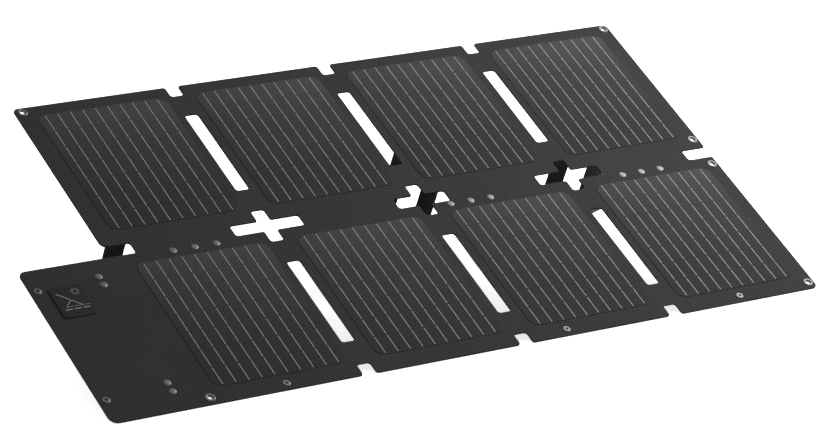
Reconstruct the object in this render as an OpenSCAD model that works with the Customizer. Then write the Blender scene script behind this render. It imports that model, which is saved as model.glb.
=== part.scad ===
// Folding solar blanket: eight thin solar panels in two rows on one cut cloth, a flap with a
// handle that closes the pack, and three fold-out stands that hold the blanket towards the sun.
// Blanket coordinates: u runs to the right from the first column's left edge, v runs back from
// the front edge, and w is the height above the cloth's face. The blanket leans back by tilt.

/* [Blanket] */
// Lean of the blanket from the ground
tilt = 28.4; // [22:0.2:34]
// Width of one folding column
column_w = 233.2; // [225:0.2:260]
// Depth of one folding row
row_d = 277.75; // [232:0.25:333]
// Thickness of the cloth
cloth_t = 2.2; // [1.6:0.1:3]
// Gap between neighbouring pieces of cloth at a fold
fold_gap = 0.4; // [0.2:0.1:0.8]
// Radius of the blanket's outer corners
corner_r = 8; // [4:0.5:12]

/* [Cut-outs] */
// Width of the slots, notches and cross arms that relieve the folds
relief_w = 19; // [12:0.5:24]
// Length of the slot between two panels
slot_l = 150.5; // [100:0.5:170]
// Front end of the slot, from the front edge of its row
slot_start = [59, 69.5];
// Distance of the slots of each row to the right of the column fold
slot_shift = [1.2, 0.6];
// Reach of the cross arms to each side of the three column folds
cross_reach = [50.4, 39.4, 50.4];
// Reach of the cross arms towards the front and the back
cross_arm = 29.2; // [20:0.2:34]
// Depth of the notches in the front and back edges
edge_notch_d = 19; // [10:0.5:24]
// Depth of the notches at the two ends of the row fold
end_notch_d = 39.4; // [20:0.2:50]
// Corner radius of the cut-outs
relief_r = 4; // [2:0.5:6]

/* [Solar panels] */
// Number of collector ribbons on a panel
ribbon_n = 10; // [5:1:12]
// Distance between ribbons
ribbon_pitch = 18.2; // [15:0.1:20]
// Width of a ribbon
ribbon_w = 0.9; // [0.6:0.1:2]
// Height of a ribbon above the cells
ribbon_h = 0.12; // [0.1:0.02:0.3]
// Length of the ribbons
ribbon_l = 220.7; // [180:0.1:226]
// Margin from the ribbons' ends to the end of the laminate
ribbon_margin = 1.5; // [1:0.5:5]
// Thickness of the cell laminate
laminate_t = 0.5; // [0.3:0.1:1]
// Cut corner of the laminate
laminate_corner = 13; // [6:0.5:18]
// Thickness of the backing board
board_t = 1; // [0.6:0.1:2]
// Distance between the laminates of neighbouring columns
panel_pitch_less = 1.4; // [0:0.1:3]
// Left margin of the first laminate
laminate_left = 29.9; // [24:0.1:40]
// Width of the laminate beyond the outer ribbons' share on each side
laminate_side = 3; // [0:0.5:4]
// Shift of the back row's laminates to the left
back_shift = 1.2; // [0:0.1:3]
// Front margin of the laminates in the front and back rows
laminate_front = [26, 34.95];

/* [Flap] */
// Width of the flap's spine, which covers the side of the folded pack
spine_w = 53.6; // [48:0.2:60]
// Distance from the first column to the spine's fold
spine_fold = 1.5; // [1:0.1:3]
// Width of the whole flap
flap_w = 126; // [110:1:150]
// How much less deep the flap is than a row
flap_less = 9.25; // [0:0.25:40]
// Radius of the flap's back corner
flap_corner_r = 10; // [4:0.5:20]
// Radius of the flap's front corner
flap_front_r = 12; // [4:0.5:24]
// Middle of the flap's snaps, from the front edge
snap_mid = 134.9; // [125:0.1:145]
// Distance between the flap's two snaps
flap_snap_spacing = 193.5; // [150:0.5:210]
// Distance from the flap's left edge to its snaps
flap_snap_inset = 10.6; // [8:0.1:20]

/* [Handle] */
// Width of the handle's webbing
handle_w = 25; // [20:1:30]
// Thickness of the handle's webbing
handle_t = 1.8; // [1.2:0.1:3]
// Middle of the handle, from the front edge
handle_mid = 135.6; // [125:0.1:145]
// Distance between the middles of the two rivet pairs
handle_spacing = 191.7; // [150:0.1:210]
// Distance between the two rivets of a pair
handle_rivet_gap = 15; // [12:0.5:20]
// Room for the fingers between the handle and the spine
handle_room = 9; // [6:0.5:12]
// Length of the handle's sloping stretches
handle_slope = 26; // [15:1:35]

/* [Label] */
// Width and depth of the label
label_size = [45, 53.5];
// Thickness of the label
label_t = 0.8; // [0.4:0.1:1.5]
// Place of the label's front left corner on the flap, from the flap's left and front edges
label_place = [23, 178.5];
// Corner radius of the label
label_r = 5; // [2:0.5:8]

/* [Fasteners] */
// Outer radius of a grommet
grommet_r = 7; // [6:0.1:8]
// Radius of a grommet's hole
grommet_hole_r = 3.5; // [2.5:0.1:4.5]
// Distance of a grommet from a side edge
grommet_inset = 9.8; // [9:0.1:14]
// How much farther in the front left and back left grommets are
grommet_left = [2.9, 1.2];
// Distance of a grommet from the front edge and from the back edge
grommet_edge = [11.3, 8.6];
// Distance of a grommet from the row fold, in the front and back rows
grommet_fold = [23.9, 27.6];
// Outer radius of a ring snap
snap_r = 5.3; // [4.5:0.1:6.5]
// Radius of a ring snap's dimple
snap_hole_r = 2.2; // [1.5:0.1:3]
// Distance of the stand snaps from the front edge
snap_edge = 10.8; // [9:0.1:16]
// Radius of a cap rivet's head
rivet_r = 5; // [4:0.1:6]
// Radius of a rivet's or snap's shank
shank_r = 1.8; // [1.2:0.1:2.4]
// Height of a fastener above the cloth
head_h = 1; // [0.6:0.1:1.2]
// Height of the flap's press studs
stud_h = 2.8; // [1.5:0.1:3.2]

/* [Stands] */
// Column that carries each stand, counted from 0 at the left
stand_column = [0, 2, 3];
// Middle of each stand, from its column's left edge
stand_left = [119, 66.8, 109.4];
// Width of the legs and props
stand_w = 94; // [70:1:110]
// Thickness of the legs and props
stand_t = 2.4; // [1.6:0.1:3]
// Distance of the leg's fold from the row fold
leg_fold_inset = 25.75; // [22:0.25:32]
// How much shorter the leg is than the way from its fold to the front edge
leg_less = 0.5; // [0:0.5:20]
// Gap between the leg's fold and its board
leg_gap = 3; // [2:0.5:5]
// Gap between the prop's fold and its board
prop_foot_gap = 2; // [1:0.5:4]
// Distance between the leg's three rivets
leg_rivet_pitch = 31.1; // [20:0.1:40]
// Distance of the leg's rivets from the row fold
leg_rivet_inset = 16; // [12:0.1:22]
// Place where the prop meets the back row, from the row fold
prop_reach = 103.9; // [85:0.1:120]
// Lean of the prop from the blanket's normal
prop_lean = 2; // [1:0.1:5]
// Width of the window in the prop
prop_window_w = 34.8; // [20:0.2:50]
// Margins of the window from the prop's lower and upper ends
prop_window_margin = [26, 34];
// Thickness of the stop behind the prop
stop_t = 1.6; // [1:0.1:2]
// Depth of the stop behind the prop
stop_d = 20; // [10:1:30]
// Corner radius of the legs' and props' free ends
stand_r = 6; // [3:0.5:10]

/* [Junction box] */
// Width, depth and height of the junction box
box_size = [84, 56, 15];
// Middle of the junction box, from its column's left edge and the front edge
box_place = [95, 128];
// Corner radius of the junction box
box_r = 6; // [3:0.5:10]
// Outer radius of the output socket
socket_r = 5.5; // [4.5:0.1:6.5]
// Radius of the output socket's hole
socket_hole_r = 3; // [2:0.1:4]
// Length of the output socket outside the box
socket_l = 12; // [8:0.5:20]
// Depth of the output socket's seat in the box
socket_seat = 6; // [4:0.5:10]

/* [Clearances] */
// Air between a folded stand and the panel above it
stow_gap = 0.3; // [0.2:0.1:0.6]
// Air between a prop and what it holds up
prop_gap = 0.4; // [0.3:0.1:0.6]
// Air round a snap in the leg's hole
snap_gap = 1.2; // [0.6:0.1:1.5]
// Air round a flap stud in its snap
stud_gap = 0.4; // [0.2:0.1:0.8]

/* [Hidden] */
$fn = 48;
cut = 1;
columns = 4;
laminate_w = ribbon_n * ribbon_pitch;
laminate_l = ribbon_l + 2 * ribbon_margin;
board_z = -cloth_t - board_t;
// the outermost ribbons stop inside the laminate's cut corners
ribbon_end = max(0, laminate_corner - laminate_side - (ribbon_pitch - ribbon_w) / 2 - ribbon_margin + cut);
blanket_w = columns * column_w;
blanket_d = 2 * row_d;
rivet_v = row_d - leg_rivet_inset;
flap_d = row_d - flap_less;
stand_u = [
    stand_column[0] * column_w + stand_left[0],
    stand_column[1] * column_w + stand_left[1],
    stand_column[2] * column_w + stand_left[2]
];
leg_fold_v = row_d - leg_fold_inset;
leg_l = leg_fold_v - leg_less;
handle_u = -spine_fold - spine_w / 2;
cover_fold_u = -spine_fold - spine_w;
snap_u = -flap_w + flap_snap_inset;
snap_v = [snap_mid - flap_snap_spacing / 2, snap_mid + flap_snap_spacing / 2];
// a stud lies under the second column, where the closed flap's snap comes down
stud_u = 2 * column_w + spine_fold - (cover_fold_u - snap_u);

// the leg's lower face runs from its fold down to the ground
leg_fold_w = board_z - stow_gap;
leg_fold_z = leg_fold_v * sin(tilt) + (leg_fold_w + cloth_t) * cos(tilt);
leg_angle = tilt + asin(leg_fold_z / leg_l);
// the prop's front face runs from its fold, just above the leg, to the back row's underside
prop_top_v = row_d + prop_reach;
prop_top_w = board_z - prop_gap;
prop_rise = stand_t + stow_gap;
prop_foot = (prop_top_v - leg_fold_v + tan(prop_lean) * (leg_fold_w + prop_rise * cos(leg_angle))
    - prop_rise * sin(leg_angle)) / (cos(leg_angle) + tan(prop_lean) * sin(leg_angle));
prop_foot_w = leg_fold_w + prop_rise * cos(leg_angle) - prop_foot * sin(leg_angle);
prop_foot_v = prop_top_v + tan(prop_lean) * prop_foot_w;
prop_l = (prop_top_w - prop_foot_w) / cos(prop_lean);

// ---- placing ----

// carries blanket coordinates to the standing blanket, with its box centred over the origin
module on_blanket() {
    deep = blanket_d * cos(tilt) + cloth_t * sin(tilt);
    translate([(flap_w - blanket_w) / 2, -deep / 2, cloth_t * cos(tilt)])
        rotate([tilt, 0, 0])
            children();
}

// ---- shared shapes ----

module rounded(size, r) {
    translate([r, 0])
        square([size[0] - 2 * r, size[1]]);
    translate([0, r])
        square([size[0], size[1] - 2 * r]);
    for (x = [r, size[0] - r], y = [r, size[1] - r])
        translate([x, y])
            circle(r);
}

// takes a square corner off: the solid lies towards +x and +y of the corner
module corner_off(r) {
    difference() {
        translate([-cut, -cut])
            square(r + cut);
        translate([r, r])
            circle(r);
    }
}

// a notch that runs to -y from its closed end at y = d, with a rounded mouth
module notch(w, d) {
    translate([-w / 2, -2 * relief_r])
        rounded([w, d + 2 * relief_r], relief_r);
    for (side = [-1, 1])
        scale([side, 1])
            translate([w / 2, 0])
                corner_off(relief_r);
}

module slot(start) {
    translate([-relief_w / 2, start])
        rounded([relief_w, slot_l], relief_r);
}

module cross(reach) {
    translate([-relief_w / 2, -cross_arm])
        rounded([relief_w, 2 * cross_arm], relief_r);
    translate([-reach, -relief_w / 2])
        rounded([2 * reach, relief_w], relief_r);
}

// the cut-outs of the whole blanket
module reliefs() {
    for (k = [1 : columns - 1])
        translate([k * column_w, 0]) {
            for (row = [0, 1])
                translate([slot_shift[row], 0])
                    slot(row * row_d + slot_start[row]);
            translate([0, row_d])
                cross(cross_reach[k - 1]);
            notch(relief_w, edge_notch_d);
            translate([0, blanket_d])
                rotate(180)
                    notch(relief_w, edge_notch_d);
        }
    for (end = [0, 1])
        translate([end * blanket_w, row_d])
            rotate(end * 180 - 90)
                notch(relief_w, end_notch_d);
}

// ---- panels ----

module cloth(column, row) {
    left = column == 0 ? 0 : fold_gap / 2;
    right = column == columns - 1 ? 0 : fold_gap / 2;
    inner = fold_gap / 2;
    color([0.16, 0.16, 0.17])
        translate([0, 0, -cloth_t])
            linear_extrude(cloth_t)
                difference() {
                    translate([column * column_w + left, row * (row_d + inner)])
                        square([column_w - left - right, row_d - inner]);
                    reliefs();
                    blanket_corners();
                    fastener_holes();
                }
}

module blanket_corners() {
    translate([blanket_w, 0])
        rotate(90)
            corner_off(corner_r);
    translate([blanket_w, blanket_d])
        rotate(180)
            corner_off(corner_r);
    translate([0, blanket_d])
        rotate(270)
            corner_off(corner_r);
}

// holes in the cloth for every grommet, snap and rivet of the panels
module fastener_holes() {
    for (at = concat(grommets_at(0), grommets_at(1), grommets_at(2), grommets_at(3)))
        translate(at)
            circle(grommet_hole_r + head_h);
    for (u = stand_u) {
        translate([u, snap_edge])
            circle(shank_r);
        for (side = [-1, 0, 1])
            translate([u + side * leg_rivet_pitch, rivet_v])
                circle(shank_r);
    }
}

// left edge of a laminate, and its front edge
function laminate_u(column, row) =
    laminate_left + column * (column_w - panel_pitch_less) - row * back_shift;
function laminate_v(row) = row * row_d + laminate_front[row];

module laminate_outline() {
    c = laminate_corner;
    w = laminate_w + 2 * laminate_side;
    l = laminate_l;
    translate([-laminate_side, 0])
        polygon([[c, 0], [w - c, 0], [w, c], [w, l - c], [w - c, l], [c, l], [0, l - c], [0, c]]);
}

module laminate(column, row) {
    color([0.20, 0.21, 0.25])
        translate([laminate_u(column, row), laminate_v(row), 0])
            linear_extrude(laminate_t)
                laminate_outline();
}

module ribbons(column, row) {
    color([0.72, 0.73, 0.75])
        for (k = [0 : ribbon_n - 1]) {
            short = k == 0 || k == ribbon_n - 1 ? ribbon_end : 0;
            translate([
                laminate_u(column, row) + (k + 0.5) * ribbon_pitch - ribbon_w / 2,
                laminate_v(row) + ribbon_margin + short,
                laminate_t
            ])
                cube([ribbon_w, ribbon_l - 2 * short, ribbon_h]);
        }
}

module board(column, row) {
    color([0.10, 0.10, 0.11])
        translate([laminate_u(column, row), laminate_v(row), board_z])
            linear_extrude(board_t)
                laminate_outline();
}

// ---- flap ----

module flap_outline(left, right) {
    difference() {
        translate([left, 0])
            square([right - left, flap_d]);
        translate([-flap_w, 0])
            corner_off(flap_front_r);
        translate([-flap_w, flap_d])
            rotate(270)
                corner_off(flap_corner_r);
        for (v = snap_v)
            translate([snap_u, v])
                circle(shank_r);
        for (at = handle_rivets_at())
            translate(at)
                circle(shank_r);
    }
}

module flap_spine_cloth() {
    color([0.16, 0.16, 0.17])
        translate([0, 0, -cloth_t])
            linear_extrude(cloth_t)
                flap_outline(cover_fold_u + fold_gap / 2, -fold_gap);
}

module flap_cover_cloth() {
    color([0.16, 0.16, 0.17])
        translate([0, 0, -cloth_t])
            linear_extrude(cloth_t)
                flap_outline(-flap_w, cover_fold_u - fold_gap / 2);
}

module label_patch() {
    color([0.09, 0.09, 0.10])
        translate([-flap_w + label_place[0], label_place[1], 0])
            linear_extrude(label_t)
                rounded(label_size, label_r);
}

function handle_rivets_at() = [
    for (side = [-1, 1], k = [-1, 1])
        [handle_u, handle_mid + side * handle_spacing / 2 + k * handle_rivet_gap / 2]
];

// the right half of the handle's side view: upper face outwards, then lower face back
function handle_half(flat, slope, low) = [
    [slope, low], [slope + handle_slope, -cloth_t], [flat, -cloth_t],
    [flat, -cloth_t - handle_t], [slope + handle_slope, -cloth_t - handle_t], [slope, low - handle_t]
];

// the webbing lies on the spine's outer face at its two ends and stands off it between them
module carry_handle() {
    grip = handle_rivet_gap / 2 + rivet_r + 2;
    half = handle_half(handle_spacing / 2 + grip, handle_spacing / 2 - grip - handle_slope,
        -cloth_t - handle_room);
    count = len(half) - 1;
    other = [for (k = [0 : count]) [-half[count - k][0], half[count - k][1]]];
    color([0.08, 0.08, 0.09])
        difference() {
            translate([handle_u - handle_w / 2, handle_mid, 0])
                rotate([90, 0, 90])
                    linear_extrude(handle_w)
                        polygon(concat(half, other));
            for (at = handle_rivets_at())
                translate([at[0], at[1], -cloth_t - handle_t - cut])
                    cylinder(r = shank_r, h = handle_t + 2 * cut);
        }
}

// ---- fasteners ----

// a head on each face of a stack that is thick from low to high, joined by a shank
module rivet(low, high) {
    translate([0, 0, high])
        rivet_head();
    translate([0, 0, low])
        mirror([0, 0, 1])
            rivet_head();
    translate([0, 0, low])
        cylinder(r = shank_r, h = high - low);
}

module rivet_head() {
    rotate_extrude()
        polygon([[0, 0], [rivet_r, 0], [rivet_r, head_h * 0.4], [rivet_r * 0.7, head_h * 0.85],
            [rivet_r * 0.35, head_h], [0, head_h]]);
}

module handle_rivets() {
    color([0.75, 0.76, 0.78])
        for (at = handle_rivets_at())
            translate(at)
                rivet(-cloth_t - handle_t, 0);
}

module leg_rivets(stand) {
    color([0.75, 0.76, 0.78])
        for (side = [-1, 0, 1])
            translate([stand_u[stand] + side * leg_rivet_pitch, rivet_v])
                rivet(-cloth_t, 0);
}

// a rolled ring on each face, joined by a tube through the cloth
module grommet() {
    tube_r = grommet_hole_r + head_h;
    for (face = [0, 1])
        translate([0, 0, -face * cloth_t])
            mirror([0, 0, face])
                rotate_extrude()
                    polygon([
                        [grommet_hole_r, 0], [grommet_r, 0], [grommet_r, head_h * 0.3],
                        [grommet_r - head_h, head_h], [tube_r, head_h],
                        [grommet_hole_r, head_h * 0.4]
                    ]);
    translate([0, 0, -cloth_t])
        difference() {
            cylinder(r = tube_r, h = cloth_t);
            translate([0, 0, -cut])
                cylinder(r = grommet_hole_r, h = cloth_t + 2 * cut);
        }
}

// places of the grommets: 0 front left, 1 front right, 2 back left, 3 back right
function grommets_at(corner) =
    corner == 0 ? [[grommet_inset + grommet_left[0], grommet_edge[0]]]
    : corner == 1 ? [[blanket_w - grommet_inset, grommet_edge[0]],
        [blanket_w - grommet_inset, row_d - grommet_fold[0]]]
    : corner == 2 ? [[grommet_inset + grommet_left[1], blanket_d - grommet_edge[1]]]
    : [[blanket_w - grommet_inset, blanket_d - grommet_edge[1]],
        [blanket_w - grommet_inset, row_d + grommet_fold[1]]];

module grommets(corner) {
    color([0.80, 0.80, 0.82])
        for (at = grommets_at(corner))
            translate(at)
                grommet();
}

// a ring with a dimple above the cloth, a shank, and a socket below it
module ring_snap(socket_h) {
    rotate_extrude()
        polygon([[0, 0], [snap_r, 0], [snap_r, head_h * 0.4], [snap_r - head_h, head_h],
            [snap_hole_r, head_h], [snap_hole_r, head_h * 0.3], [0, head_h * 0.3]]);
    translate([0, 0, -cloth_t])
        cylinder(r = shank_r, h = cloth_t);
    translate([0, 0, -cloth_t - socket_h])
        difference() {
            cylinder(r = snap_r, h = socket_h);
            translate([0, 0, -cut])
                cylinder(r = snap_hole_r, h = cut + socket_h - 0.5);
        }
}

module stand_snap(stand) {
    color([0.75, 0.76, 0.78])
        translate([stand_u[stand], snap_edge])
            ring_snap(stow_gap + board_t + stand_t / 2);
}

module flap_snaps() {
    color([0.75, 0.76, 0.78])
        for (v = snap_v)
            translate([snap_u, v])
                ring_snap(head_h);
}

module flap_studs() {
    color([0.75, 0.76, 0.78])
        for (v = snap_v)
            translate([stud_u, v, board_z]) {
                mirror([0, 0, 1])
                    cylinder(r = snap_r, h = head_h);
                mirror([0, 0, 1])
                    cylinder(r = snap_hole_r - stud_gap, h = stud_h);
            }
}

// ---- stands ----

// a board from y = 0 to y = l, with round corners at its free end
module stand_board(l) {
    difference() {
        translate([-stand_w / 2, 0])
            square([stand_w, l]);
        for (side = [-1, 1])
            scale([side, 1])
                translate([-stand_w / 2, l])
                    rotate(270)
                        corner_off(stand_r);
    }
}

// the leg folds down from the front row and its end stands on the ground under the back row
module stand_leg(stand) {
    color([0.13, 0.13, 0.14])
        translate([stand_u[stand], leg_fold_v, leg_fold_w])
            rotate([-leg_angle, 0, 0])
                linear_extrude(stand_t)
                    difference() {
                        translate([0, leg_gap])
                            stand_board(leg_l - leg_gap);
                        translate([0, leg_fold_v - snap_edge])
                            circle(snap_r + snap_gap);
                    }
}

// the prop stands on the leg and holds up the back row
module stand_prop(stand) {
    color([0.13, 0.13, 0.14])
        translate([stand_u[stand], prop_foot_v, prop_foot_w])
            rotate([90 - prop_lean, 0, 0])
                translate([0, 0, -stand_t])
                    linear_extrude(stand_t)
                        difference() {
                            translate([0, prop_foot_gap])
                                stand_board(prop_l - prop_foot_gap);
                            translate([-prop_window_w / 2, prop_window_margin[0]])
                                rounded([prop_window_w,
                                    prop_l - prop_window_margin[0] - prop_window_margin[1]],
                                    stand_r);
                        }
}

// a thick strip behind the prop's top that stops it from tipping back
module prop_stop(stand) {
    color([0.10, 0.10, 0.11])
        translate([
            stand_u[stand] - stand_w / 2,
            prop_top_v + stand_t / cos(prop_lean) + prop_gap,
            board_z - stop_t
        ])
            cube([stand_w, stop_d, stop_t]);
}

// ---- junction box ----

module junction_box() {
    color([0.07, 0.07, 0.08])
        translate([column_w + box_place[0] - box_size[0] / 2, box_place[1] - box_size[1] / 2,
            board_z - box_size[2]])
            difference() {
                union() {
                    linear_extrude(box_size[2])
                        rounded([box_size[0], box_size[1]], box_r);
                    // lid rim
                    translate([-1, -1, 0])
                        linear_extrude(3)
                            rounded([box_size[0] + 2, box_size[1] + 2], box_r + 1);
                }
                // seat of the output socket in the right wall
                translate([box_size[0] - socket_seat, box_size[1] / 2, box_size[2] / 2 + 1])
                    rotate([0, 90, 0])
                        cylinder(r = socket_r, h = socket_seat + cut);
            }
}

module output_socket() {
    color([0.05, 0.05, 0.06])
        translate([
            column_w + box_place[0] + box_size[0] / 2 - socket_seat,
            box_place[1],
            board_z - box_size[2] / 2 + 1
        ])
            rotate([0, 90, 0])
                difference() {
                    cylinder(r = socket_r, h = socket_seat + socket_l);
                    translate([0, 0, socket_seat])
                        cylinder(r = socket_hole_r, h = socket_l + cut);
                }
}

// ---- every node ----

on_blanket() {
    for (k = [0 : columns - 1]) {
        cloth(k, 0);
        cloth(k, 1);
        laminate(k, 0);
        laminate(k, 1);
        ribbons(k, 0);
        ribbons(k, 1);
        board(k, 0);
        board(k, 1);
    }
    flap_spine_cloth();
    flap_cover_cloth();
    label_patch();
    carry_handle();
    handle_rivets();
    flap_snaps();
    flap_studs();
    grommets(0);  // grommet_front_left
    grommets(1);  // grommets_front_right
    grommets(2);  // grommet_back_left
    grommets(3);  // grommets_back_right
    for (s = [0 : len(stand_u) - 1]) {
        stand_snap(s);
        leg_rivets(s);
        stand_leg(s);
        stand_prop(s);
        prop_stop(s);
    }
    junction_box();
    output_socket();
}
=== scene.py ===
"""Folding solar blanket: cloth, films, metal and label around the fixed model.

Sizes are in the blanket's millimetres unless a comment says metres; place() and TO_ROW turn them into the frame's.
"""

import math

import bmesh
import bpy
from mathutils import Matrix, Vector


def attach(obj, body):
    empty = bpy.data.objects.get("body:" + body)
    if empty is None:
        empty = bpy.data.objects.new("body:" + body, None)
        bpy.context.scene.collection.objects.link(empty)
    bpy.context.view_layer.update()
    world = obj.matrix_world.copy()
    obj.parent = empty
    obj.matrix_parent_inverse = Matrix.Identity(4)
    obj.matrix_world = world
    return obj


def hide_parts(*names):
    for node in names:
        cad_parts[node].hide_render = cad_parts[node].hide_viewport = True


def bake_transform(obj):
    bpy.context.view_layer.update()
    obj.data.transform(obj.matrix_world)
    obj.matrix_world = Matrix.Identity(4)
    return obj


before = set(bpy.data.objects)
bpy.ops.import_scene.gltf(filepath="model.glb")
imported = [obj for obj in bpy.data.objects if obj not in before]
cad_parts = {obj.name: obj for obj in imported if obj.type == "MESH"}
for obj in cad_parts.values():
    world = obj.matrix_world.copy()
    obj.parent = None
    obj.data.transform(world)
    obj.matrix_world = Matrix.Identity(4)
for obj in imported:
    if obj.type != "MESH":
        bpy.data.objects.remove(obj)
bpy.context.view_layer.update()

# ---- the blanket's own coordinates: u right, v back, w above the cloth's face ----

# metres to a millimetre, the blanket's tilt, and its panels, cloth thickness and flap
MM = 0.001
TILT = math.radians(28.4)
COLUMN = 233.2
ROW = 277.75
COLUMNS = 4
WIDTH = COLUMNS * COLUMN
DEPTH = 2 * ROW
CLOTH = 2.2
FLAP = 126.0
# corners: the flap's front one, the blanket's outer ones, the step by the row fold and the flap's back one
FRONT_R, OUTER_R, STEP_R, FLAP_R = 12.0, 8.0, 9.0, 10.0
GROMMET_HOLE = 4.3
# the films: ribbons, their spacing and pieces, the margins round them, and where each film starts
RIBBONS = 10
PITCH = 18.2
SEGMENTS = 7
LENGTH = 220.7
GAP = 2.2
RIBBON_W, RIBBON_T = 0.9, 0.1
END_LESS = 1.0
MARGIN = 1.5
SIDE = 3.0
FILM_T = 0.5
FILM_R = 14.0
BOARD = 1.0
FILM_LEFT = 29.9
FILM_STEP = COLUMN - 1.4
FILM_BACK_SHIFT = 1.2
FILM_FRONT = (26.0, 34.95)
# share of the light that the films return at their back ends, where their painted sheen is brightest, and the length
# over which that painted sheen rises
FILM = 0.0385
FILM_RAMP = 224.0
# ring snaps: middle, spacing and inset on the flap, and distance from the front edge at the stands
SNAP_MID = 134.9
SNAP_SPACING = 193.5
SNAP_INSET = 10.6
SNAP_EDGE = 10.8
SNAP_FLOOR = 0.42
SNAP_WELL_R = 2.15
# how far the cloth's bend reaches to each side of a fold, and the spacing of its cuts
FLAP_REACH, FLAP_STEP = 2.0, 0.5
ROW_REACH, ROW_STEP = 2.4, 0.4
COLUMN_REACH, COLUMN_STEP = 20.0, 2.0
DEEP = DEPTH * math.cos(TILT) + CLOTH * math.sin(TILT)
TO_ROW = (
    Matrix.Translation(((FLAP - WIDTH) / 2 * MM, -DEEP / 2 * MM, CLOTH * math.cos(TILT) * MM))
    @ Matrix.Rotation(TILT, 4, "X")
    @ Matrix.Scale(MM, 4)
)
FACE = (TO_ROW.to_3x3() @ Vector((0, 0, 1))).normalized()


def place(u, v, w=0.0):
    return TO_ROW @ Vector((u, v, w))


# ---- flat outlines ----


def rounded_path(points, radii):
    """A closed path with each corner rounded by its own radius."""
    out = []
    n = len(points)
    for k in range(n):
        p = Vector(points[k])
        a = (Vector(points[k - 1]) - p).normalized()
        b = (Vector(points[(k + 1) % n]) - p).normalized()
        r = radii[k] if isinstance(radii, (list, tuple)) else radii
        half = math.acos(max(-1.0, min(1.0, a.dot(b)))) / 2
        reach = r / math.tan(half)
        start, end = p + a * reach, p + b * reach
        centre = p + (a + b).normalized() * (r / math.sin(half))
        s, e = start - centre, end - centre
        a0, a1 = math.atan2(s.y, s.x), math.atan2(e.y, e.x)
        turn = (a1 - a0 + math.pi) % (2 * math.pi) - math.pi
        steps = 7
        for i in range(steps + 1):
            q = a0 + turn * i / steps
            out.append((centre.x + r * math.cos(q), centre.y + r * math.sin(q)))
    return out


def slab(name, loops, low, high, edge=0.35):
    """A flat plate between two heights with softened edges; the first loop is its outline, the rest are holes."""
    curve = bpy.data.curves.new(name, "CURVE")
    curve.dimensions = "2D"
    curve.fill_mode = "BOTH"
    for loop in loops:
        s = curve.splines.new("POLY")
        s.points.add(len(loop) - 1)
        for p, (x, y) in zip(s.points, loop):
            p.co = (x, y, 0, 1)
        s.use_cyclic_u = True
    curve.offset = -edge
    curve.extrude = max((high - low) / 2 - edge, 0.001)
    curve.bevel_depth = edge
    curve.bevel_resolution = 1
    made = bpy.data.objects.new(name, curve)
    bpy.context.scene.collection.objects.link(made)
    bpy.context.view_layer.update()
    mesh = bpy.data.meshes.new_from_object(made.evaluated_get(bpy.context.evaluated_depsgraph_get()))
    bpy.data.objects.remove(made)
    bpy.data.curves.remove(curve)
    bm = bmesh.new()
    bm.from_mesh(mesh)
    bmesh.ops.remove_doubles(bm, verts=bm.verts, dist=0.02)
    bmesh.ops.translate(bm, verts=bm.verts, vec=(0, 0, (high + low) / 2))
    bmesh.ops.recalc_face_normals(bm, faces=bm.faces)
    bpy.data.meshes.remove(mesh)
    return bm


def to_object(name, bm, matrix=None, smooth_to=None):
    """Turns blanket millimetres into an object in the frame; edges up to smooth_to degrees are shaded smooth."""
    mesh = bpy.data.meshes.new(name)
    if matrix is not None:
        bm.transform(matrix)
    bm.transform(TO_ROW)
    bmesh.ops.recalc_face_normals(bm, faces=bm.faces)
    bm.to_mesh(mesh)
    bm.free()
    if smooth_to:
        for p in mesh.polygons:
            p.use_smooth = True
        mesh.set_sharp_from_angle(angle=math.radians(smooth_to))
    obj = bpy.data.objects.new(name, mesh)
    bpy.context.scene.collection.objects.link(obj)
    return obj


def cut(bm, axis, at, keep=0):
    """Cuts the mesh at one coordinate; keep 1 keeps what lies above it and -1 what lies below."""
    normal = [0, 0, 0]
    point = [0, 0, 0]
    normal[axis] = 1
    point[axis] = at
    geom = bm.verts[:] + bm.edges[:] + bm.faces[:]
    bmesh.ops.bisect_plane(bm, geom=geom, dist=0.001, plane_co=point, plane_no=normal,
                           clear_inner=keep > 0, clear_outer=keep < 0)
    if keep:
        bmesh.ops.holes_fill(bm, edges=[e for e in bm.edges if e.is_boundary], sides=0)


# ---- materials ----


def nodes_of(name):
    m = bpy.data.materials.new(name)
    m.use_nodes = True
    t = m.node_tree
    t.nodes.clear()
    out = t.nodes.new("ShaderNodeOutputMaterial")
    bsdf = t.nodes.new("ShaderNodeBsdfPrincipled")
    t.links.new(bsdf.outputs[0], out.inputs[0])
    return m, t, bsdf


def plane_coordinates(t):
    """Blanket coordinates in metres, from the object's own."""
    tc = t.nodes.new("ShaderNodeTexCoord")
    rot = t.nodes.new("ShaderNodeVectorRotate")
    rot.rotation_type = "X_AXIS"
    rot.inputs["Angle"].default_value = -TILT
    t.links.new(tc.outputs["Object"], rot.inputs["Vector"])
    return rot.outputs["Vector"]


def math_node(t, op, a, b=None):
    n = t.nodes.new("ShaderNodeMath")
    n.operation = op
    for k, x in enumerate((a, b)):
        if x is None:
            continue
        if isinstance(x, (int, float)):
            n.inputs[k].default_value = x
        else:
            t.links.new(x, n.inputs[k])
    return n.outputs[0]


def ramp(t, fac, stops):
    r = t.nodes.new("ShaderNodeValToRGB")
    while len(r.color_ramp.elements) < len(stops):
        r.color_ramp.elements.new(0.5)
    for e, (pos, col) in zip(r.color_ramp.elements, stops):
        e.position = pos
        e.color = (*col, 1)
    t.links.new(fac, r.inputs["Fac"])
    return r.outputs["Color"]


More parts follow.
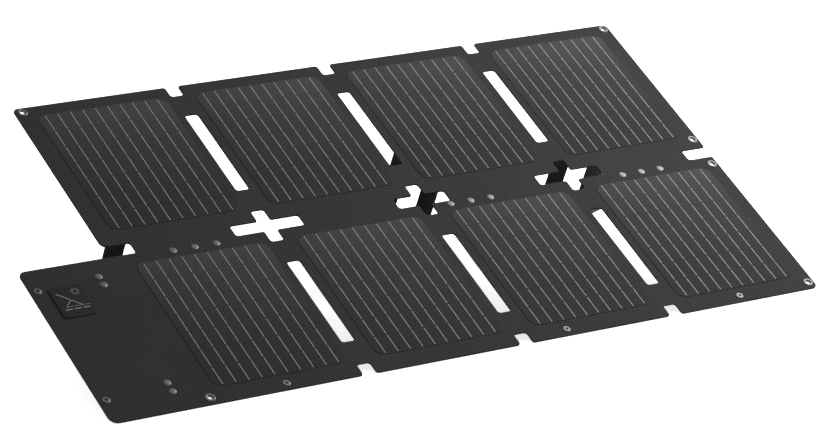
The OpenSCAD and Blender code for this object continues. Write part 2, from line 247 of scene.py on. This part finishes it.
def mix(t, fac, a, b, mode="MIX"):
    n = t.nodes.new("ShaderNodeMix")
    n.data_type = "RGBA"
    n.blend_type = mode
    for key, x in (("Factor", fac), ("A", a), ("B", b)):
        kind = "VALUE" if key == "Factor" else "RGBA"
        socket = [s for s in n.inputs if s.name == key and s.type == kind][0]
        if isinstance(x, (int, float)):
            socket.default_value = x
        elif isinstance(x, tuple):
            socket.default_value = (*x, 1)
        else:
            t.links.new(x, socket)
    return [s for s in n.outputs if s.type == "RGBA"][0]


def twill_height(t, coords, pitch, angle, distortion=0.0):
    """Slanting ribs, 0 to 1."""
    m = t.nodes.new("ShaderNodeVectorRotate")
    m.rotation_type = "Z_AXIS"
    m.inputs["Angle"].default_value = math.radians(angle)
    t.links.new(coords, m.inputs["Vector"])
    w = t.nodes.new("ShaderNodeTexWave")
    w.wave_type = "BANDS"
    w.bands_direction = "X"
    w.inputs["Scale"].default_value = 0.3142 / pitch
    w.inputs["Distortion"].default_value = distortion
    w.inputs["Detail"].default_value = 1.0
    t.links.new(m.outputs[0], w.inputs["Vector"])
    return w.outputs["Fac"]


def noise(t, coords, scale, detail=3.0):
    n = t.nodes.new("ShaderNodeTexNoise")
    n.inputs["Scale"].default_value = scale
    n.inputs["Detail"].default_value = detail
    t.links.new(coords, n.inputs["Vector"])
    return n.outputs["Fac"]


def bump(t, height, strength, distance, bsdf):
    b = t.nodes.new("ShaderNodeBump")
    b.inputs["Strength"].default_value = strength
    b.inputs["Distance"].default_value = distance
    t.links.new(height, b.inputs["Height"])
    t.links.new(b.outputs[0], bsdf.inputs["Normal"])


# spacing of the cloth's ribs in metres, and their turn in degrees
TWILL_PITCH = 0.00283
TWILL_ANGLE = 61.2


def cloth_material(name, dark, light, pitch=TWILL_PITCH, angle=TWILL_ANGLE, weft=(1.04, -TWILL_ANGLE), rough=0.85,
                   spec=0.08, depth=0.0003):
    """Woven cloth: ribs, and threads across them whose pitch is a share of the ribs' and whose turn is from them."""
    m, t, bsdf = nodes_of(name)
    uv = plane_coordinates(t)
    rib = twill_height(t, uv, pitch, angle, 0.5)
    across = twill_height(t, uv, pitch * weft[0], angle + weft[1], 0.6)
    both = math_node(t, "ADD", math_node(t, "MULTIPLY", rib, 0.71), math_node(t, "MULTIPLY", across, 0.29))
    col = ramp(t, both, [(0.32, dark), (0.70, light)])
    soft = ramp(t, noise(t, uv, 9.0), [(0.3, (0.88,) * 3), (0.7, (1.0,) * 3)])
    col = mix(t, 1.0, col, soft, "MULTIPLY")
    t.links.new(col, bsdf.inputs["Base Color"])
    bsdf.inputs["Roughness"].default_value = rough
    bsdf.inputs["Specular IOR Level"].default_value = spec
    bump(t, both, 0.5, depth, bsdf)
    return m


def film_material(name):
    """Dark solar film: grey-blue, with a painted sheen that lightens it towards its back end and its right side, and
    a faint weave.
    """
    m, t, bsdf = nodes_of(name)
    uv = plane_coordinates(t)
    sep = t.nodes.new("ShaderNodeSeparateXYZ")
    t.links.new(uv, sep.inputs[0])
    origin = (Matrix.Rotation(-TILT, 3, "X") @ place(0, FILM_FRONT[0])).y
    along = math_node(t, "SUBTRACT", sep.outputs["Y"], origin)
    along = math_node(t, "MODULO", along, ROW * MM)
    along = math_node(t, "DIVIDE", along, FILM_RAMP * MM)
    # painted sheen: the film brightens from its front end to its back end
    painted_sheen = ramp(t, along, [(0.0, (0.52,) * 3), (0.3, (0.545,) * 3), (0.5, (0.655,) * 3), (0.7, (0.72,) * 3),
                            (0.88, (0.865,) * 3), (0.95, (0.98,) * 3), (1.0, (1.0,) * 3)])
    # the painted sheen turns slightly blue towards the back end
    painted_sheen_tint = [(0.0, (FILM, FILM, FILM * 1.01)), (1.0, (FILM, FILM * 1.01, FILM * 1.05))]
    base = mix(t, 1.0, painted_sheen, ramp(t, along, painted_sheen_tint), "MULTIPLY")
    left = place(FILM_LEFT - SIDE, 0).x
    across = math_node(t, "MODULO", math_node(t, "SUBTRACT", sep.outputs["X"], left), FILM_STEP * MM)
    across = math_node(t, "DIVIDE", math_node(t, "SUBTRACT", across, SIDE * MM), RIBBONS * PITCH * MM)
    # painted sheen across each film: an even 0.85 at its front end, rising from its left side to its right side at
    # its back end
    painted_sheen_across = mix(t, math_node(t, "MINIMUM", along, 1.0), (0.85, 0.85, 0.85),
               ramp(t, across, [(0.0, (0.86,) * 3), (0.5, (1.0,) * 3), (1.0, (1.07,) * 3)]))
    base = mix(t, 1.0, base, painted_sheen_across, "MULTIPLY")
    rib = twill_height(t, uv, TWILL_PITCH, TWILL_ANGLE, 0.5)
    base = mix(t, 1.0, base, ramp(t, rib, [(0.1, (0.68,) * 3), (0.9, (1.0,) * 3)]), "MULTIPLY")
    cloud = ramp(t, noise(t, uv, 14.0), [(0.3, (0.95, 0.94, 0.90)), (0.7, (0.98, 1.0, 1.06))])
    grain = ramp(t, noise(t, uv, 900.0, 1.0), [(0.3, (0.80,) * 3), (0.7, (1.20,) * 3)])
    cloud = mix(t, 1.0, cloud, grain, "MULTIPLY")
    t.links.new(mix(t, 1.0, base, cloud, "MULTIPLY"), bsdf.inputs["Base Color"])
    bsdf.inputs["Roughness"].default_value = 0.8
    bsdf.inputs["Specular IOR Level"].default_value = 0.08
    bump(t, rib, 0.25, 0.0001, bsdf)
    return m


def plain_material(name, low, high, scale, rough, metallic=0.0, depth=0.0, spec=0.5):
    """One colour with a fine grain."""
    m, t, bsdf = nodes_of(name)
    uv = plane_coordinates(t)
    n = noise(t, uv, scale)
    t.links.new(ramp(t, n, [(0.3, low), (0.7, high)]), bsdf.inputs["Base Color"])
    smooth, coarse = rough * 0.85, min(1, rough * 1.15)
    t.links.new(ramp(t, n, [(0.2, (smooth,) * 3), (0.8, (coarse,) * 3)]), bsdf.inputs["Roughness"])
    bsdf.inputs["Metallic"].default_value = metallic
    bsdf.inputs["Specular IOR Level"].default_value = spec
    if depth:
        bump(t, n, 0.4, depth, bsdf)
    return m


cloth_mat = cloth_material("blanket_twill", (0.0008, 0.0008, 0.0009), (0.041, 0.041, 0.042))
film_mat = film_material("solar_film")
ribbon_mat = plain_material("ribbon_metal", (0.165, 0.168, 0.17), (0.225, 0.228, 0.232), 300, 0.5, spec=0.2)
metal_mat = plain_material("nickel", (0.075, 0.075, 0.077), (0.11, 0.11, 0.112), 900, 0.5, metallic=1.0)
well_mat = plain_material("snap_well", (0.015, 0.015, 0.015), (0.035, 0.035, 0.035), 900, 0.6, metallic=1.0)
stand_mat = cloth_material("stand_cloth", (0.014, 0.014, 0.0146), (0.026, 0.026, 0.027),
                           pitch=0.0012, angle=40, weft=(0.8, 90))
web_mat = cloth_material("webbing", (0.003, 0.003, 0.0035), (0.013, 0.013, 0.014),
                         pitch=0.0022, angle=90, weft=(0.6, 90), depth=0.0005)
# near black for the cloth's sides, and a painted shadow rim on the label's sides
side_black_and_shadow_mat = cloth_material("backing_cloth", (0.004, 0.004, 0.0042), (0.008, 0.008, 0.0085),
                          pitch=0.0016, angle=0, weft=(0.8, 90))
under_mat = cloth_material("under_cloth", (0.010, 0.010, 0.0105), (0.020, 0.020, 0.021),
                           pitch=0.0016, angle=0, weft=(0.8, 90))
label_mat = plain_material("label_rubber", (0.006, 0.006, 0.0062), (0.009, 0.009, 0.0093),
                           1500, 0.7, depth=0.0001, spec=0.1)
print_mat = plain_material("label_print", (0.13, 0.13, 0.133), (0.18, 0.18, 0.184), 400, 0.6, spec=0.1)
plastic_mat = plain_material("black_plastic", (0.010, 0.010, 0.0105), (0.016, 0.016, 0.017),
                             1800, 0.5, depth=0.0001)


def paint(obj, material):
    obj.data.materials.clear()
    obj.data.materials.append(material)
    return obj


# ---- the blanket's cloth, one outline cut into the pieces that fold ----

RELIEF = 19.0
FILLET = 4.0
SLOT = 150.5
SLOT_SHIFT = (1.2, 0.6)
SLOT_START = (59.0, 69.5)
REACH = (50.4, 39.4, 50.4)
ARM = 29.2
EDGE_NOTCH = 19.0
END_NOTCH = 39.4
SPINE_FOLD = -1.5
COVER_FOLD = -55.1
FLAP_DEPTH = 268.5
half = RELIEF / 2


def blanket_outline():
    """The whole outline, anticlockwise from the flap's front corner, with the notches."""
    pts, rad = [(-FLAP, 0.0)], [FRONT_R]
    for k in (1, 2, 3):
        u = k * COLUMN
        pts += [(u - half, 0), (u - half, EDGE_NOTCH), (u + half, EDGE_NOTCH), (u + half, 0)]
        rad += [FILLET] * 4
    pts += [(WIDTH, 0), (WIDTH, ROW - half), (WIDTH - END_NOTCH, ROW - half), (WIDTH - END_NOTCH, ROW + half),
            (WIDTH, ROW + half), (WIDTH, DEPTH)]
    rad += [OUTER_R, FILLET, FILLET, FILLET, FILLET, OUTER_R]
    for k in (3, 2, 1):
        u = k * COLUMN
        pts += [(u + half, DEPTH), (u + half, DEPTH - EDGE_NOTCH), (u - half, DEPTH - EDGE_NOTCH), (u - half, DEPTH)]
        rad += [FILLET] * 4
    pts += [(0, DEPTH), (0, ROW + half), (END_NOTCH, ROW + half), (END_NOTCH, FLAP_DEPTH), (-FLAP, FLAP_DEPTH)]
    rad += [OUTER_R, STEP_R, FILLET, FILLET, FLAP_R]
    return rounded_path(pts, rad)


def slot_loop(u, v):
    return rounded_path([(u - half, v), (u + half, v), (u + half, v + SLOT), (u - half, v + SLOT)], FILLET)


def cross_loop(u, reach):
    h, a = half, ARM
    pts = [(-h, -a), (h, -a), (h, -h), (reach, -h), (reach, h), (h, h), (h, a), (-h, a), (-h, h), (-reach, h),
           (-reach, -h), (-h, -h)]
    return rounded_path([(u + x, ROW + y) for x, y in pts], [4, 4, 3, 4, 4, 3, 4, 4, 3, 4, 4, 3])


def circle_loop(u, v, r, n=24):
    return [(u + r * math.cos(2 * math.pi * k / n), v + r * math.sin(2 * math.pi * k / n)) for k in range(n)]


GROMMETS = [(12.7, 11.3), (WIDTH - 9.8, 11.3), (WIDTH - 9.8, ROW - 23.9), (WIDTH - 9.8, ROW + 27.6),
            (WIDTH - 9.8, DEPTH - 8.6), (11.0, DEPTH - 8.6)]


def blanket_loops():
    loops = [blanket_outline()]
    for k in (1, 2, 3):
        for row in (0, 1):
            loops.append(slot_loop(k * COLUMN + SLOT_SHIFT[row], row * ROW + SLOT_START[row]))
        loops.append(cross_loop(k * COLUMN, REACH[k - 1]))
    loops += [circle_loop(u, v, GROMMET_HOLE) for u, v in GROMMETS]
    return loops


whole = slab("whole_cloth", blanket_loops(), -CLOTH, 0.0, 0.45)
BAND_LOW, BAND_HIGH = 255.0, 300.0
TIP = 12.0


def dark_edges_and_shadow_rim(obj):
    """The sides in near black, which on the label is a painted shadow rim, and the lower face in the plain backing
    cloth.
    """
    obj.data.materials.append(side_black_and_shadow_mat)
    obj.data.materials.append(under_mat)
    for p in obj.data.polygons:
        up = p.normal.dot(FACE)
        p.material_index = 0 if up > 0.5 else 2 if up < -0.9 else 1
    return obj


def cloth_piece(name, box, lines=()):
    """The part of the cloth inside box (u0, u1, v0, v1), with extra cuts where it bends."""
    bm = whole.copy()
    for axis, low, high in ((0, box[0], box[1]), (1, box[2], box[3])):
        if low is not None:
            cut(bm, axis, low, 1)
        if high is not None:
            cut(bm, axis, high, -1)
    for axis, at in lines:
        cut(bm, axis, at)
    obj = paint(to_object(name, bm), cloth_mat)
    return dark_edges_and_shadow_rim(obj)


def declare(obj):
    """Returns the piece as it is."""
    return obj


def bend_lines(axis, at, reach, step):
    n = int(round(2 * reach / step))
    return [(axis, at - reach + k * step) for k in range(n + 1)]


MIDS = [(k + 0.5) * COLUMN for k in range(COLUMNS)]
flap_mid = (SPINE_FOLD + COVER_FOLD) / 2

p = cloth_piece("cloth_flap_cover", (None, flap_mid, None, None), bend_lines(0, COVER_FOLD, FLAP_REACH, FLAP_STEP))
declare(p)
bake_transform(p)
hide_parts("flap_cover_cloth")
p = cloth_piece("cloth_flap_spine", (flap_mid, MIDS[0], None, BAND_LOW),
                bend_lines(0, SPINE_FOLD, FLAP_REACH, FLAP_STEP))
declare(p)
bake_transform(p)
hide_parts("flap_spine_cloth")
p = cloth_piece("cloth_flap_tip", (flap_mid, TIP, BAND_LOW, FLAP_DEPTH + 1),
                bend_lines(0, SPINE_FOLD, FLAP_REACH, FLAP_STEP))
declare(p)
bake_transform(p)

# a loop of cloth at the second fold would lie where the closed flap's spine is, so this one is two pieces
p = cloth_piece("cloth_front_2_right", (MIDS[1], 2 * COLUMN, None, BAND_LOW))
declare(p)
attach(p, "front_panel_2")
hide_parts("front_cloth_2")
p = cloth_piece("cloth_front_3_left", (2 * COLUMN, MIDS[2], None, BAND_LOW))
declare(p)
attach(p, "front_panel_3")
for k in (1, 3):
    fold = k * COLUMN
    p = cloth_piece(f"cloth_front_{k}_{k + 1}", (MIDS[k - 1], MIDS[k], None, BAND_LOW),
                    bend_lines(0, fold, COLUMN_REACH, COLUMN_STEP))
    declare(p)
    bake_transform(p)
    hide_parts(f"front_cloth_{k}")
p = cloth_piece("cloth_front_end", (MIDS[3], None, None, BAND_LOW))
declare(p)
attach(p, "front_panel_4")
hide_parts("front_cloth_4")

p = cloth_piece("cloth_back_tip", (None, TIP, ROW + ROW_REACH, BAND_HIGH))
declare(p)
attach(p, "back_panel_1")
for c in range(COLUMNS):
    low = c * COLUMN if c else TIP
    high = (c + 1) * COLUMN if c < COLUMNS - 1 else None
    p = cloth_piece(f"cloth_fold_{c + 1}", (low, high, BAND_LOW, BAND_HIGH), bend_lines(1, ROW, ROW_REACH, ROW_STEP))
    declare(p)
    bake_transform(p)
    low = c * COLUMN if c else None
    p = cloth_piece(f"cloth_back_{c + 1}", (low, high, BAND_HIGH, None))
    declare(p)
    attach(p, f"back_panel_{c + 1}")
    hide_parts(f"back_cloth_{c + 1}")
whole.free()

# ---- films, ribbons and backing ----


def film_corner(c, row):
    return FILM_LEFT + c * FILM_STEP - row * FILM_BACK_SHIFT, row * ROW + FILM_FRONT[row]


def film_path(u, v):
    w, l = RIBBONS * PITCH + SIDE, LENGTH + 2 * MARGIN
    return rounded_path([(u - SIDE, v), (u + w, v), (u + w, v + l), (u - SIDE, v + l)], FILM_R)


for c in range(COLUMNS):
    for row in (0, 1):
        side = "back" if row else "front"
        body = f"{side}_panel_{c + 1}"
        u, v = film_corner(c, row)
        film = to_object(f"film_{side}_{c + 1}", slab("film", [film_path(u, v)], 0.0, FILM_T, 0.12))
        paint(film, film_mat)
        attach(film, body)
        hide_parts(f"{side}_laminate_{c + 1}")
        bm = bmesh.new()
        for k in range(RIBBONS):
            x = u + (k + 0.5) * PITCH
            long = (LENGTH + GAP) / SEGMENTS
            for s in range(SEGMENTS):
                y0 = v + MARGIN + s * long
                y1 = y0 + long - GAP
                if k in (0, RIBBONS - 1):
                    y0 = max(y0, v + MARGIN + END_LESS)
                    y1 = min(y1, v + MARGIN + LENGTH - END_LESS)
                made = bmesh.ops.create_cube(bm, size=1.0)
                bmesh.ops.scale(bm, verts=made["verts"], vec=(RIBBON_W, y1 - y0, RIBBON_T))
                bmesh.ops.translate(bm, verts=made["verts"], vec=(x, (y0 + y1) / 2, FILM_T + RIBBON_T / 2))
        ribbons = paint(to_object(f"ribbons_{side}_{c + 1}", bm), ribbon_mat)
        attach(ribbons, body)
        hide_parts(f"{side}_ribbons_{c + 1}")
        back = slab("pocket", [film_path(u, v)], -CLOTH - BOARD, -CLOTH + 0.1, 0.5)
        back = paint(to_object(f"pocket_{side}_{c + 1}", back), under_mat)
        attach(back, body)
        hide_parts(f"{side}_board_{c + 1}")

# ---- stands ----

STANDS = ((119.0, 1), (533.2, 3), (809.0, 4))
FOLD_V = 252.0
FOLD_W = -CLOTH - BOARD - 0.3
LEG_L = 251.5
STAND_W = 94.0
STAND_T = 2.4
# rounded ends of the strips, gaps at their hinges, and the hole that passes round a snap
HINGE_R, END_R = 1.0, 6.0
LEG_START, PROP_START = 3.0, 2.0
SNAP_HOLE = 6.6
# the prop's window: half its width, its two ends' distances and its corners
WINDOW_HALF, WINDOW_LOW, WINDOW_HIGH, WINDOW_R = 17.4, 26.0, 34.0, 6.0
# cloth hinges of the legs and the props: width, thickness and the side view of each end
TAB_W = STAND_W - 12.0
LEG_TAB_T, PROP_TAB_T = 0.25, 0.3
LEG_TAB_PANEL = ((268.0, -2.5), (262.0, -2.5), (256.0, -2.5), (252.8, -2.9), (251.6, -3.4))
LEG_TAB_LEG = (4.0, 8.0, 12.0, 16.0, 20.0, 25.0)
PROP_TAB_LEG = (22.0, 16.0, 10.0, 4.0)
PROP_TAB_PROP = (3.0, 7.0, 11.0, 15.0, 20.0)
PROP_TAB_W = 2.7
LEG_TAB_BELOW = 0.35
# the prop's direction and the one square to it, as a leg's side view shows them
ALONG, ABOVE = Vector((-0.816, 0.578)), Vector((0.578, 0.816))
# heights between which each cloth hinge bends: below the cloth's face for a leg, above the leg's for a prop
LEG_Z = FOLD_V * math.sin(TILT) + (FOLD_W + CLOTH) * math.cos(TILT)
LEG_A = TILT + math.asin(LEG_Z / LEG_L)
LEAN = math.radians(2.0)
TOP_V = ROW + 103.9
TOP_W = -CLOTH - BOARD - 0.4
RISE = STAND_T + 0.3
FOOT = (TOP_V - FOLD_V + math.tan(LEAN) * (FOLD_W + RISE * math.cos(LEG_A)) - RISE * math.sin(LEG_A)) / (
    math.cos(LEG_A) + math.tan(LEAN) * math.sin(LEG_A))
FOOT_W = FOLD_W + RISE * math.cos(LEG_A) - FOOT * math.sin(LEG_A)
FOOT_V = TOP_V + math.tan(LEAN) * FOOT_W
PROP_L = (TOP_W - FOOT_W) / math.cos(LEAN)


def leg_matrix(u):
    return Matrix.Translation((u, FOLD_V, FOLD_W)) @ Matrix.Rotation(-LEG_A, 4, "X")


def prop_matrix(u):
    return Matrix.Translation((u, FOOT_V, FOOT_W)) @ Matrix.Rotation(math.pi / 2 - LEAN, 4, "X")


def stand_path(start, end):
    """Outline of a leg or a prop from its hinge to its free end."""
    x = STAND_W / 2
    return rounded_path([(-x, start), (x, start), (x, end), (-x, end)], [HINGE_R, HINGE_R, END_R, END_R])


def strip(name, profile, width, thick, u, frame_of=None):
    """A closed band of cloth along a side-view path of (v, w) points, as wide as width."""
    bm = bmesh.new()
    pts = [Vector(q) for q in profile]
    rows = []
    for k, q in enumerate(pts):
        a = pts[max(k - 1, 0)]
        b = pts[min(k + 1, len(pts) - 1)]
        d = (b - a).normalized()
        n = Vector((-d.y, d.x)) * thick / 2
        rows.append([bm.verts.new((u + x, s.x, s.y)) for x, s in (
            (-width / 2, q - n), (width / 2, q - n), (width / 2, q + n), (-width / 2, q + n))])
    for r0, r1 in zip(rows, rows[1:]):
        for i in range(4):
            bm.faces.new((r0[i], r0[(i + 1) % 4], r1[(i + 1) % 4], r1[i]))
    bm.faces.new(rows[0])
    bm.faces.new(rows[-1][::-1])
    return paint(to_object(name, bm, frame_of, 50), stand_mat)


for s, (u, c) in enumerate(STANDS, 1):
    snap_hole = circle_loop(0, FOLD_V - SNAP_EDGE, SNAP_HOLE)
    leg = slab("leg", [stand_path(LEG_START, LEG_L), snap_hole], 0.0, STAND_T, 0.5)
    leg = paint(to_object(f"leg_cover_{s}", leg, leg_matrix(u)), stand_mat)
    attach(leg, f"leg_{s}")
    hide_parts(f"stand_leg_{s}")
    window = rounded_path([(-WINDOW_HALF, WINDOW_LOW), (WINDOW_HALF, WINDOW_LOW),
                           (WINDOW_HALF, PROP_L - WINDOW_HIGH), (-WINDOW_HALF, PROP_L - WINDOW_HIGH)], WINDOW_R)
    prop = slab("prop", [stand_path(PROP_START, PROP_L), window], -STAND_T, 0.0, 0.5)
    prop = paint(to_object(f"prop_cover_{s}", prop, prop_matrix(u)), stand_mat)
    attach(prop, f"prop_{s}")
    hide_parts(f"stand_prop_{s}")
    ca, sa = math.cos(LEG_A), math.sin(LEG_A)
    side = list(LEG_TAB_PANEL)
    side += [(FOLD_V + y * ca - LEG_TAB_BELOW * sa, FOLD_W - y * sa - LEG_TAB_BELOW * ca) for y in LEG_TAB_LEG]
    tab = strip(f"leg_tab_{s}", side, TAB_W, LEG_TAB_T, u)
    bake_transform(tab)
    side = [(FOOT + y, PROP_TAB_W) for y in PROP_TAB_LEG]
    side += [(FOOT + y * ALONG.x + PROP_TAB_W * ABOVE.x, RISE + y * ALONG.y + PROP_TAB_W * ABOVE.y)
             for y in PROP_TAB_PROP]
    tab = strip(f"prop_tab_{s}", side, TAB_W, PROP_TAB_T, 0.0, leg_matrix(u))
    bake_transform(tab)

# ---- metal, handle, box and stops keep the model's own shapes ----

METAL = ["handle_rivets", "flap_snaps", "flap_studs", "grommet_front_left", "grommets_front_right",
         "grommet_back_left", "grommets_back_right"]
METAL += [f"stand_snap_{k}" for k in (1, 2, 3)] + [f"leg_rivets_{k}" for k in (1, 2, 3)]
for n in METAL:
    paint(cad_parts[n], metal_mat)
for n in ("junction_box", "output_socket"):
    paint(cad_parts[n], plastic_mat)
for n in ("prop_stop_1", "prop_stop_2", "prop_stop_3"):
    paint(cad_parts[n], under_mat)
paint(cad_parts["carry_handle"], web_mat)


def disc(name, u, v, w, r, body):
    bm = slab("disc", [circle_loop(u, v, r)], w - 0.3, w, 0.1)
    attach(paint(to_object(name, bm), well_mat), body)


for k, v in enumerate((SNAP_MID - SNAP_SPACING / 2, SNAP_MID + SNAP_SPACING / 2), 1):
    disc(f"flap_snap_well_{k}", SNAP_INSET - FLAP, v, SNAP_FLOOR, SNAP_WELL_R, "flap_cover")
for k, (u, c) in enumerate(STANDS, 1):
    disc(f"stand_snap_well_{k}", u, SNAP_EDGE, SNAP_FLOOR, SNAP_WELL_R, f"front_panel_{c}")

# ---- label: a moulded patch with a sun, a sloping panel on its leg and a ground line ----

LABEL_U0, LABEL_U1, LABEL_V0, LABEL_V1 = -103.0, -58.0, 178.5, 232.0
LABEL_R, LABEL_T = 5.0, 1.2
PRINT_LOW, PRINT_HIGH = 1.18, 1.3
patch = slab("label", [rounded_path([(LABEL_U0, LABEL_V0), (LABEL_U1, LABEL_V0), (LABEL_U1, LABEL_V1),
                                     (LABEL_U0, LABEL_V1)], LABEL_R)], 0.0, LABEL_T, 0.3)
# the label's near-black sides are a painted shadow rim
patch = dark_edges_and_shadow_rim(paint(to_object("label_moulding", patch), label_mat))
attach(patch, "flap_cover")
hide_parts("label_patch")

prints = bmesh.new()


def stroke(p0, p1, wide):
    a, b = Vector((*p0, 0)), Vector((*p1, 0))
    d = (b - a).normalized()
    n = Vector((-d.y, d.x, 0)) * wide / 2
    quad = [a - n, b - n, b + n, a + n]
    lower = [prints.verts.new((q.x, q.y, PRINT_LOW)) for q in quad]
    upper = [prints.verts.new((q.x, q.y, PRINT_HIGH)) for q in quad]
    prints.faces.new(upper)
    for i in range(4):
        prints.faces.new((lower[i], lower[(i + 1) % 4], upper[(i + 1) % 4], upper[i]))


stroke((-96.0, 220.5), (-69.5, 195.6), 1.3)
stroke((-81.5, 207.5), (-92.2, 196.8), 0.9)
stroke((-93.0, 196.2), (-60.5, 196.2), 0.6)
for k in range(3):
    stroke((-95.8 + k * 12.0, 191.6), (-86.6 + k * 12.0, 191.6), 1.6)
SUN = (-70.0, 220.6)
SUN_R, RAY_IN, RAY_OUT, SUN_LINE = 3.6, 4.7, 6.3, 0.7


def sun_point(radius, degrees):
    a = math.radians(degrees)
    return SUN[0] + radius * math.cos(a), SUN[1] + radius * math.sin(a)


for k in range(24):
    stroke(sun_point(SUN_R, k * 15), sun_point(SUN_R, k * 15 + 15), SUN_LINE)
for k in range(10):
    stroke(sun_point(RAY_IN, k * 36), sun_point(RAY_OUT, k * 36), SUN_LINE)
picture = paint(to_object("label_picture", prints), print_mat)
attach(picture, "flap_cover")

# ---- stage ----

FLOOR_HALF = 30.0
FLOOR_BELOW = 0.0002
FLOOR_GLOW = 0.75
SKY = 0.62
floor_mesh = bpy.data.meshes.new("floor")
bm = bmesh.new()
bmesh.ops.create_grid(bm, x_segments=1, y_segments=1, size=FLOOR_HALF)
bm.to_mesh(floor_mesh)
bm.free()
floor = bpy.data.objects.new("floor", floor_mesh)
bpy.context.scene.collection.objects.link(floor)
floor_mat = plain_material("floor_paint", (0.90, 0.90, 0.90), (0.92, 0.92, 0.92), 3, 0.9, spec=0.1)
glow = floor_mat.node_tree.nodes["Principled BSDF"]
glow.inputs["Emission Color"].default_value = (1, 1, 1, 1)
glow.inputs["Emission Strength"].default_value = FLOOR_GLOW
floor.data.materials.append(floor_mat)
floor.location.z = -FLOOR_BELOW

world = bpy.data.worlds.new("studio")
bpy.context.scene.world = world
world.use_nodes = True
background = world.node_tree.nodes["Background"]
background.inputs["Color"].default_value = (1, 1, 1, 1)
background.inputs["Strength"].default_value = SKY


def area_light(name, where, aim, size, power):
    light = bpy.data.lights.new(name, "AREA")
    light.shape = "RECTANGLE"
    light.size, light.size_y = size
    light.energy = power
    o = bpy.data.objects.new(name, light)
    bpy.context.scene.collection.objects.link(o)
    o.location = where
    o.rotation_euler = (Vector(aim) - Vector(where)).to_track_quat("-Z", "Y").to_euler()


area_light("key", (1.45, 0.0, 1.15), (0.1, 0, 0.1), (1.3, 1.3), 54)

# ---- camera ----

# the eye, the view's direction and its right in the blanket's coordinates; the camera itself is kept level
EYE = TO_ROW @ Vector((-2132.5, -2638.0, 3029.2))
tilt3 = Matrix.Rotation(TILT, 3, "X")
ahead = tilt3 @ Vector((0.5232, 0.5874, -0.6174))
right = tilt3 @ Vector((0.8402, -0.4766, 0.2586))
right.z = 0
right.normalize()
ahead.normalize()
up = right.cross(ahead).normalized()
right = ahead.cross(up)
cam_data = bpy.data.cameras.new("camera")
cam_data.sensor_width = 36.0
cam_data.lens = 165.5
cam_data.clip_end = 100
cam = bpy.data.objects.new("camera", cam_data)
bpy.context.scene.collection.objects.link(cam)
cam.matrix_world = Matrix((
    (right.x, up.x, -ahead.x, EYE.x),
    (right.y, up.y, -ahead.y, EYE.y),
    (right.z, up.z, -ahead.z, EYE.z),
    (0, 0, 0, 1)))
bpy.context.scene.camera = cam
bpy.context.scene.view_settings.view_transform = "Standard"
